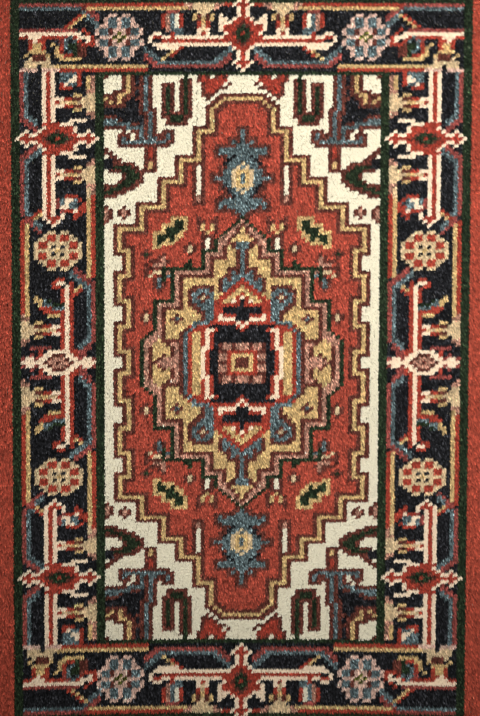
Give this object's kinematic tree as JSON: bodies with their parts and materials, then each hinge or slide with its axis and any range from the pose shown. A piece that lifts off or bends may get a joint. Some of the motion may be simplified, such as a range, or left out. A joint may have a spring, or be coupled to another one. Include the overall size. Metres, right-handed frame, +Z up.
{
  "type": "area rug",
  "caption": "Small rectangular hand-knotted wool rug with a stepped medallion on an ivory field, navy border, corded side edges and fringed ends.",
  "frame": {"origin": "middle of the rug's underside, on the floor", "axes": "+Z up out of the pile, +Y along the rug towards its head, +X across it"},
  "size_m": [0.6184, 1.0234, 0.0118],
  "materials": {
    "cotton": "undyed cotton yarn, matt",
    "red_wool": "brick red cut wool pile, matt",
    "green_wool": "dark green cut wool pile, matt",
    "navy_wool": "navy cut wool pile, matt",
    "ivory_wool": "ivory cut wool pile, matt",
    "gold_wool": "old gold cut wool pile, matt",
    "maroon_wool": "maroon brown cut wool pile, matt",
    "blue_wool": "slate blue cut wool pile, matt",
    "pink_wool": "dusty pink cut wool pile, matt"
  },
  "bodies": {
    "root": {"border_foot": "navy_wool", "border_head": "navy_wool", "border_left": "navy_wool", "border_right": "navy_wool", "end_band_foot": "red_wool", "end_band_head": "red_wool", "end_cord_foot": "navy_wool", "end_cord_head": "navy_wool", "fringe_foot": "cotton", "fringe_head": "cotton", "ground_weave": "cotton", "heart": "navy_wool", "inner_ground_foot_left": "gold_wool", "inner_ground_foot_right": "gold_wool", "inner_ground_head_left": "gold_wool", "inner_ground_head_right": "gold_wool", "inner_guard_foot": "green_wool", "inner_guard_head": "green_wool", "inner_guard_left": "green_wool", "inner_guard_right": "green_wool", "inner_outline_foot_left": "maroon_wool", "inner_outline_foot_right": "maroon_wool", "inner_outline_head_left": "maroon_wool", "inner_outline_head_right": "maroon_wool", "kilim_foot": "cotton", "kilim_head": "cotton", "medallion_ground_foot_left": "red_wool", "medallion_ground_foot_right": "red_wool", "medallion_ground_head_left": "red_wool", "medallion_ground_head_right": "red_wool", "medallion_outline_foot_left": "gold_wool", "medallion_outline_foot_right": "gold_wool", "medallion_outline_head_left": "gold_wool", "medallion_outline_head_right": "gold_wool", "outer_guard_foot": "green_wool", "outer_guard_head": "green_wool", "outer_guard_left": "green_wool", "outer_guard_right": "green_wool", "rosette_foot_left": "blue_wool", "rosette_foot_right": "blue_wool", "rosette_head_left": "blue_wool", "rosette_head_right": "blue_wool", "rosette_left_foot": "pink_wool", "rosette_left_head": "pink_wool", "rosette_right_foot": "pink_wool", "rosette_right_head": "pink_wool", "selvedge_core_left": "cotton", "selvedge_core_right": "cotton", "selvedge_wrap_left": "red_wool", "selvedge_wrap_right": "red_wool", "side_band_left": "red_wool", "side_band_right": "red_wool", "spandrel_foot_left": "ivory_wool", "spandrel_foot_right": "ivory_wool", "spandrel_head_left": "ivory_wool", "spandrel_head_right": "ivory_wool"}
  },
  "joints": []
}
